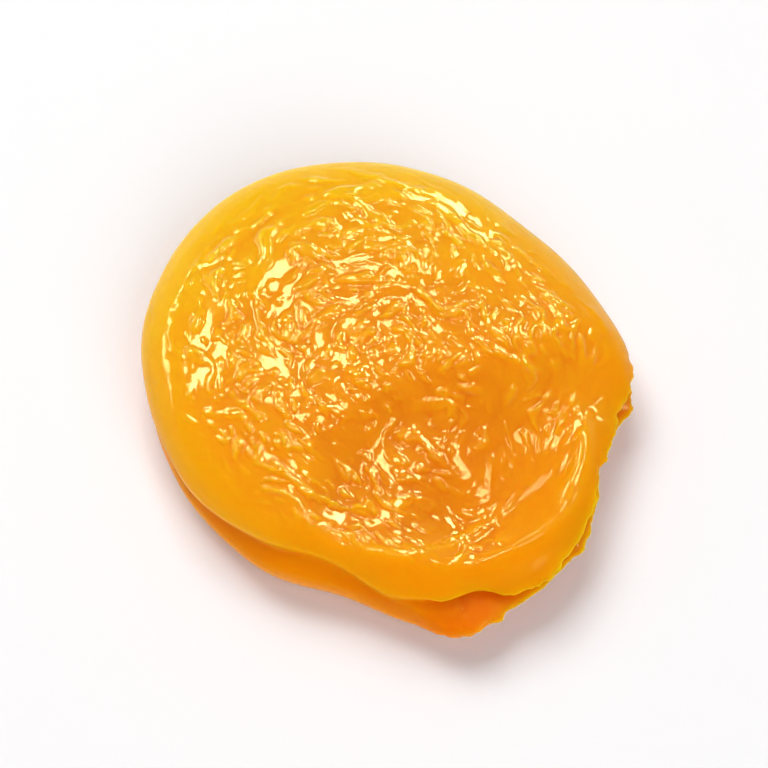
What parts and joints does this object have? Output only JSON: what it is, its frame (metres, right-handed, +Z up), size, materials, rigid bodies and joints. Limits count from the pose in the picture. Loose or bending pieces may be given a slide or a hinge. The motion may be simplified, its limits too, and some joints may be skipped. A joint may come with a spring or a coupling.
{
  "type": "dried apricot",
  "caption": "Whole pitted dried apricot: a round pouch of soft fruit pressed flat, with a puckered hollow face, a puffed rim and a torn stem end.",
  "frame": {"origin": "under the middle of the fruit's outline, in the plane it rests on", "axes": "+X from the blossom end to the torn stem end, +Z up out of the hollow face"},
  "size_m": [0.043, 0.0368, 0.01],
  "materials": {
    "dried_flesh": "glossy, translucent orange dried fruit flesh"
  },
  "bodies": {
    "root": {"apricot": "dried_flesh"}
  },
  "joints": []
}
